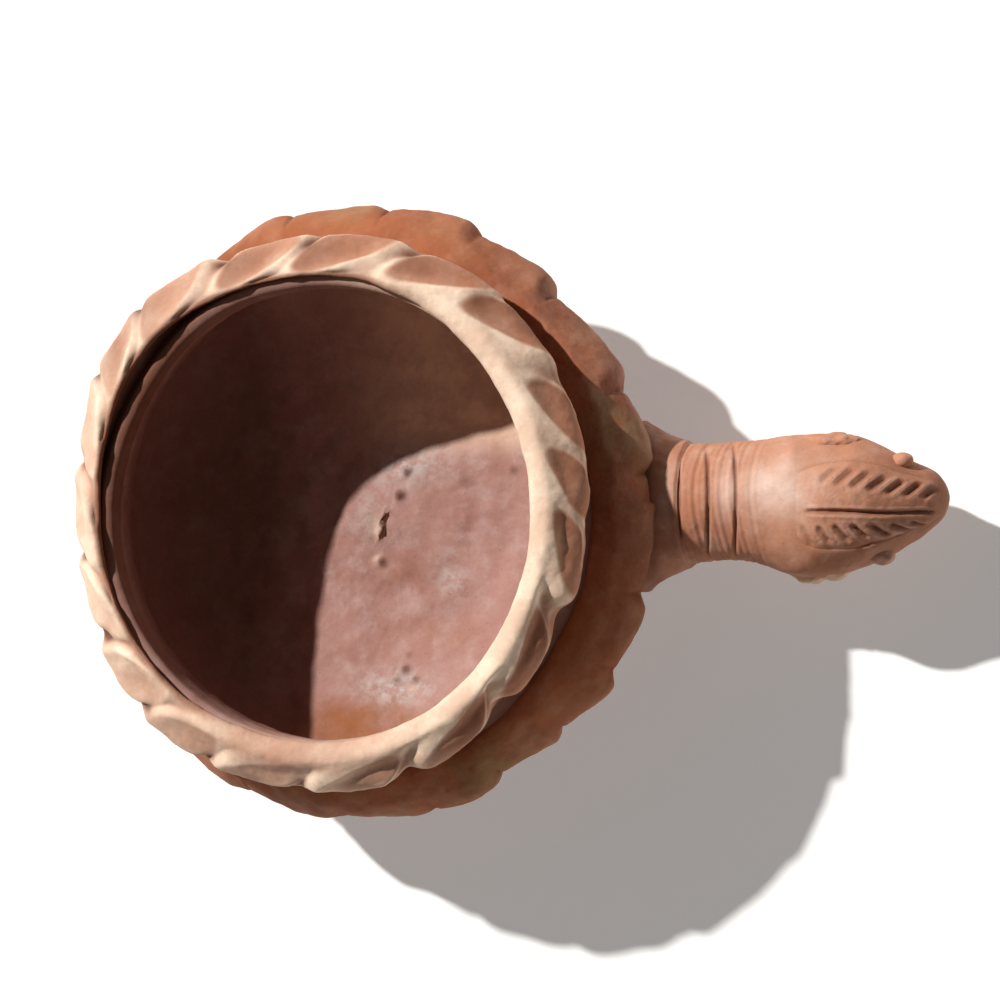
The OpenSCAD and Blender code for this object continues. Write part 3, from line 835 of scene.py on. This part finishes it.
class Graph:
    """A short way to wire shader nodes."""

    def __init__(self, name):
        self.material = bpy.data.materials.new(name)
        self.material.use_nodes = True
        self.nodes = self.material.node_tree.nodes
        self.links = self.material.node_tree.links
        self.shader = self.nodes["Principled BSDF"]
        self.place = self.nodes.new("ShaderNodeTexCoord").outputs["Object"]

    def set(self, socket, value):
        """Link another node's output to the socket, or set the socket's own value."""
        if isinstance(value, bpy.types.NodeSocket):
            self.links.new(value, socket)
        else:
            socket.default_value = value

    def noise(self, size_mm, detail, rough, warp=0.0):
        node = self.nodes.new("ShaderNodeTexNoise")
        self.set(node.inputs["Vector"], self.place)
        node.inputs["Scale"].default_value = 1 / (size_mm * MM)
        node.inputs["Detail"].default_value = detail
        node.inputs["Roughness"].default_value = rough
        node.inputs["Distortion"].default_value = warp
        return node.outputs["Fac"]

    def spots(self, size_mm):
        node = self.nodes.new("ShaderNodeTexVoronoi")
        self.set(node.inputs["Vector"], self.place)
        node.inputs["Scale"].default_value = 1 / (size_mm * MM)
        return node.outputs["Distance"]

    def mark(self, key):
        node = self.nodes.new("ShaderNodeAttribute")
        node.attribute_name = key
        return node.outputs["Fac"]

    def ramp(self, value, low, high, out_low=0.0, out_high=1.0):
        node = self.nodes.new("ShaderNodeMapRange")
        node.interpolation_type = "SMOOTHSTEP"
        self.set(node.inputs["Value"], value)
        for key, number in (("From Min", low), ("From Max", high), ("To Min", out_low), ("To Max", out_high)):
            node.inputs[key].default_value = number
        return node.outputs["Result"]

    def times(self, a, b):
        node = self.nodes.new("ShaderNodeMath")
        node.operation = "MULTIPLY"
        self.set(node.inputs[0], a)
        self.set(node.inputs[1], b)
        return node.outputs["Value"]

    def mix(self, factor, a, b):
        """Mix two colours. Sockets 6, 7 and the output 2 are the node's colour ones."""
        node = self.nodes.new("ShaderNodeMix")
        node.data_type = "RGBA"
        self.set(node.inputs[0], factor)
        self.set(node.inputs[6], a if isinstance(a, bpy.types.NodeSocket) else (*a, 1))
        self.set(node.inputs[7], b if isinstance(b, bpy.types.NodeSocket) else (*b, 1))
        return node.outputs[2]

    def bump(self, height, distance_mm, strength, under=None):
        node = self.nodes.new("ShaderNodeBump")
        self.set(node.inputs["Height"], height)
        node.inputs["Distance"].default_value = distance_mm * MM
        node.inputs["Strength"].default_value = strength
        if under is not None:
            self.set(node.inputs["Normal"], under)
        return node.outputs["Normal"]


BLOOM_AND_HIGHLIGHT = (0.93, 0.66, 0.47)
PINK = (0.84, 0.65, 0.56)
CREAM = (1.0, 0.78, 0.6)
ASH = (0.56, 0.52, 0.49)
OCHRE = (0.5, 0.19, 0.06)
SOIL_AND_SHADE = (0.1, 0.035, 0.02)


def clay(name, base, dark, light, stain_and_painted_light=OCHRE, bloom_and_highlight=0.3, powder_and_highlight=BLOOM_AND_HIGHLIGHT, worn=0.5):
    """Unglazed fired clay: mottled colour, grit, a pale colour on the marked ridges and tops, partly dust and
    partly painted highlight, and a dark colour in the marked hollows and strips, partly dirt and partly
    painted shade.
    """
    grain = 0.4
    g = Graph(name)
    cloud = g.noise(26, 5, 0.6, 0.4)
    mottle = g.noise(5.5, 6, 0.62, 0.2)
    fine = g.noise(0.75, 4, 0.6)
    grit = g.spots(1.6)
    color = g.mix(g.ramp(cloud, 0.36, 0.62), dark, base)
    color = g.mix(g.ramp(mottle, 0.45, 0.72, 0, worn), color, light)
    # Colour of the marked stains: partly the clay's own stains, partly painted shade and painted bounce
    # light.
    stain_and_light_weight = g.times(g.mark("stain_and_painted_light"), g.ramp(g.noise(7, 5, 0.6), 0.3, 0.65, 0.2, 0.85))
    color = g.mix(stain_and_light_weight, color, stain_and_painted_light)
    color = g.mix(g.ramp(fine, 0.3, 0.75, 0.1, 0), color, SOIL_AND_SHADE)
    color = g.mix(g.ramp(grit, 0.05, 0.13, 0.35, 0), color, SOIL_AND_SHADE)
    # Pale colour on the marked tops: partly pale dust, partly painted highlight and painted bounce light.
    dust_and_highlight_weight = g.times(g.mark("crest"), g.ramp(g.noise(9, 7, 0.7), 0.38, 0.62, 0.6, 1.0))
    color = g.mix(g.times(dust_and_highlight_weight, bloom_and_highlight), color, powder_and_highlight)
    ash = g.times(g.mark("patch"), g.ramp(g.noise(3, 6, 0.7), 0.4, 0.6, 0.2, 0.9))
    color = g.mix(ash, color, ASH)
    # Dark colour in the marked hollows and strips: partly dirt, partly painted shade.
    color = g.mix(g.times(g.mark("soil_and_shade"), 0.86), color, SOIL_AND_SHADE)
    g.set(g.shader.inputs["Base Color"], color)
    g.set(g.shader.inputs["Roughness"], g.ramp(mottle, 0.35, 0.7, 0.92, 0.74))
    g.shader.inputs["Specular IOR Level"].default_value = 0.32
    lumps = g.bump(g.noise(2.4, 5, 0.6), 0.35, grain)
    g.set(g.shader.inputs["Normal"], g.bump(fine, 0.12, grain, lumps))
    return g.material


# ---------------------------------------------------------------- floor, light and camera

def build_floor():
    """A plain pale floor, a little brighter than the light alone would make it."""
    mesh = bpy.data.meshes.new("floor")
    mesh.from_pydata([(-2, -2, 0), (2, -2, 0), (2, 2, 0), (-2, 2, 0)], [], [(0, 1, 2, 3)])
    floor = bpy.data.objects.new("floor", mesh)
    bpy.context.scene.collection.objects.link(floor)
    g = Graph("pale_floor")
    g.shader.inputs["Base Color"].default_value = (0.82, 0.82, 0.81, 1)
    g.shader.inputs["Emission Color"].default_value = (1, 1, 1, 1)
    g.shader.inputs["Emission Strength"].default_value = 0.24
    g.shader.inputs["Roughness"].default_value = 0.9
    mesh.materials.append(g.material)


def add_light(name, kind, energy, direction, size, color):
    """A light that shines from a direction. Its size is in degrees for a sun, else in metres."""
    away = 1.2
    data = bpy.data.lights.new(name, kind)
    data.energy = energy
    data.color = color
    light = bpy.data.objects.new(name, data)
    bpy.context.scene.collection.objects.link(light)
    toward = Vector(direction).normalized()
    light.rotation_euler = toward.to_track_quat("Z", "Y").to_euler()
    if kind == "SUN":
        data.angle = math.radians(size)
    else:
        data.shape = "DISK"
        data.size = size
        light.location = toward * away


def build_lights():
    """A key light from the upper left, a weak fill and bounce, and a dim warm room."""
    add_light("key", "SUN", 4.3, (-0.69, 0.67, 1.0), 1.5, (1.0, 0.98, 0.95))
    add_light("fill", "AREA", 0.25, (-0.4, 0.4, 1.0), 1.2, (1.0, 0.93, 0.87))
    add_light("bounce", "AREA", 0.8, (0.55, -0.65, 0.4), 1.2, (1.0, 0.8, 0.66))
    world = bpy.data.worlds.new("soft_room")
    world.use_nodes = True
    background = world.node_tree.nodes["Background"]
    background.inputs["Color"].default_value = (1, 0.9, 0.82, 1)
    background.inputs["Strength"].default_value = 0.07
    bpy.context.scene.world = world


def build_camera():
    """Above the lamp, tipped from the zenith towards the handle's end, with +Y up in the picture."""
    tilt, turn, roll = math.radians(19.0), math.radians(-1.6), math.radians(-0.6)
    distance = 0.70
    off_centre = Vector((0.0009, 0.0019, 0))
    sensor_mm, zoom = 36, 3.4524
    low, high = np.array(cad_box[0]), np.array(cad_box[1])
    aim = Vector(((low[0] + high[0]) / 2, 0, (low[2] + high[2]) / 2)) + off_centre
    away = Vector((math.sin(tilt) * math.cos(turn), math.sin(tilt) * math.sin(turn), math.cos(tilt)))
    right = Vector((math.cos(turn), math.sin(turn), 0))
    right = (right - away * right.dot(away)).normalized()
    up = away.cross(right)
    data = bpy.data.cameras.new("camera")
    data.sensor_width = sensor_mm
    data.lens = sensor_mm * zoom
    data.clip_start = 0.01
    data.clip_end = 20
    camera = bpy.data.objects.new("camera", data)
    bpy.context.scene.collection.objects.link(camera)
    axes = Matrix((right, up, away)).transposed() @ Matrix.Rotation(-roll, 3, "Z")
    camera.matrix_world = Matrix.Translation(aim + away * distance) @ axes.to_4x4()
    bpy.context.scene.camera = camera


# ---------------------------------------------------------------- the lamp

# Each clay: its base, dark and light colours, then what differs from plain clay
bowl_clay = clay("bowl_clay", (0.435, 0.238, 0.2), (0.36, 0.18, 0.145), (0.5, 0.335, 0.305),
                 stain_and_painted_light=(0.31, 0.105, 0.03), bloom_and_highlight=0.9, worn=0.55)
rim_clay = clay("rim_clay", (0.6, 0.29, 0.18), (0.48, 0.21, 0.13), (0.68, 0.43, 0.32),
                stain_and_painted_light=(0.42, 0.165, 0.085), bloom_and_highlight=1.0, powder_and_highlight=CREAM)
band_clay = clay("band_clay", (0.41, 0.13, 0.053), (0.3, 0.086, 0.033), (0.44, 0.19, 0.095),
                 stain_and_painted_light=(0.3, 0.16, 0.06), bloom_and_highlight=0.12)
handle_clay, leaf_clay = [clay(name, (0.54, 0.25, 0.15), (0.46, 0.19, 0.11), (0.64, 0.4, 0.31),
                               stain_and_painted_light=(0.4, 0.17, 0.1), bloom_and_highlight=0.85, powder_and_highlight=PINK)
                          for name in ("handle_clay", "leaf_clay")]
collar_clay = clay("collar_clay", (0.53, 0.245, 0.15), (0.45, 0.19, 0.11), (0.62, 0.37, 0.27),
                   bloom_and_highlight=0.85, powder_and_highlight=PINK)
foot_clay = clay("foot_clay", (0.38, 0.17, 0.1), (0.28, 0.12, 0.07), (0.46, 0.25, 0.17), bloom_and_highlight=0.2)
pale_clay = clay("pale_clay", (0.8, 0.54, 0.36), (0.7, 0.43, 0.28), (0.88, 0.7, 0.52), bloom_and_highlight=0.5)

finish_piece(build_bowl(), bowl_clay, "bowl")
finish_piece(build_foot(), foot_clay, "foot")
finish_piece(build_rim_coil(), rim_clay, "rim_coil")
finish_piece(build_belly_band(), band_clay, "belly_band")
finish_piece(build_handle(), handle_clay, "handle")
finish_piece(build_collar(), collar_clay, "handle_collar")
finish_piece(build_leaf(), leaf_clay, "knob_leaf")

# Each lump: piece, CAD node, clay, slot, seed, width, share of the box that it fills, lobes and paleness,
# partly a painted highlight
LUMPS = (("side_lump_left", "side_pellet_left", handle_clay, "handle_clay", 91, 1.2, 0.6, 1, 0.0),
         ("side_lump_right", "side_pellet_right", pale_clay, "pale_clay", 92, 1.0, 1.0, 2, 0.8),
         ("tip_lump_left", "tip_pellet_left", leaf_clay, "leaf_clay", 93, 0.9, 0.5, 1, 0.0),
         ("tip_lump_right", "tip_pellet_right", handle_clay, "handle_clay", 94, 1.0, 0.55, 1, 0.2),
         ("cheek_lump", "cheek_pellet", handle_clay, "handle_clay", 95, 1.0, 0.6, 1, 0.7))
for name, node, material, slot, seed, wide, share, lobes, pale in LUMPS:
    finish_piece(build_lump(name, node, seed, wide, share, lobes, pale), material, node)

build_floor()
build_lights()
build_camera()
bpy.context.scene.view_settings.view_transform = "Standard"
